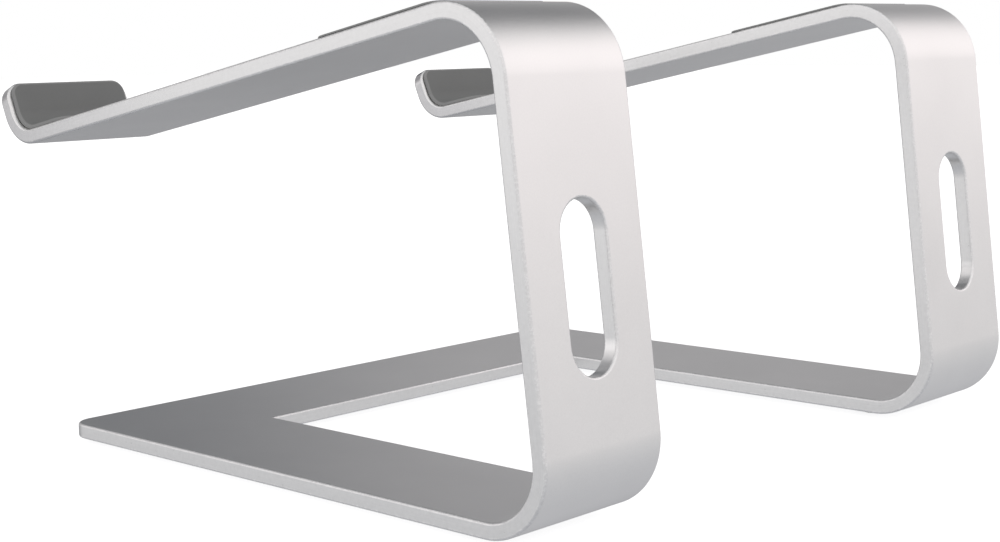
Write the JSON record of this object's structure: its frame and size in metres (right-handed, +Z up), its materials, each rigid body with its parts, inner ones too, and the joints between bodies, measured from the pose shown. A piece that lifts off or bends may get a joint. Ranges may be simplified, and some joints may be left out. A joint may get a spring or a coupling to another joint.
{
  "type": "laptop stand",
  "caption": "Fixed aluminium laptop stand: bent-plate arms with cable slots, upturned lips and silicone pads, joined by a flat front crossbar.",
  "frame": {"origin": "on the floor, at the centre of the bounding box's underside", "axes": "+X to the right arm as seen by the user in front, +Y away from the user towards the legs, +Z up"},
  "size_m": [0.255, 0.253, 0.1467],
  "materials": {
    "anodised_aluminium": "fine bead-blasted, silver anodised",
    "pad_silicone": "matt dark grey silicone",
    "foot_rubber": "matt black rubber",
    "adhesive_film": "milky double-sided film",
    "screw_steel": "plain stainless steel"
  },
  "bodies": {
    "root": {"right_arm": "anodised_aluminium", "left_arm": "anodised_aluminium", "front_crossbar": "anodised_aluminium", "right_lip_pad": "pad_silicone", "left_lip_pad": "pad_silicone", "right_top_pad": "pad_silicone", "left_top_pad": "pad_silicone", "front_right_foot": "foot_rubber", "front_left_foot": "foot_rubber", "rear_right_foot": "foot_rubber", "rear_left_foot": "foot_rubber", "right_lip_pad_adhesive": "adhesive_film", "left_lip_pad_adhesive": "adhesive_film", "right_top_pad_adhesive": "adhesive_film", "left_top_pad_adhesive": "adhesive_film", "front_right_foot_adhesive": "adhesive_film", "front_left_foot_adhesive": "adhesive_film", "rear_right_foot_adhesive": "adhesive_film", "rear_left_foot_adhesive": "adhesive_film", "right_outer_screw": "screw_steel", "right_inner_screw": "screw_steel", "right_front_screw": "screw_steel", "left_outer_screw": "screw_steel", "left_inner_screw": "screw_steel", "left_front_screw": "screw_steel"}
  },
  "joints": []
}
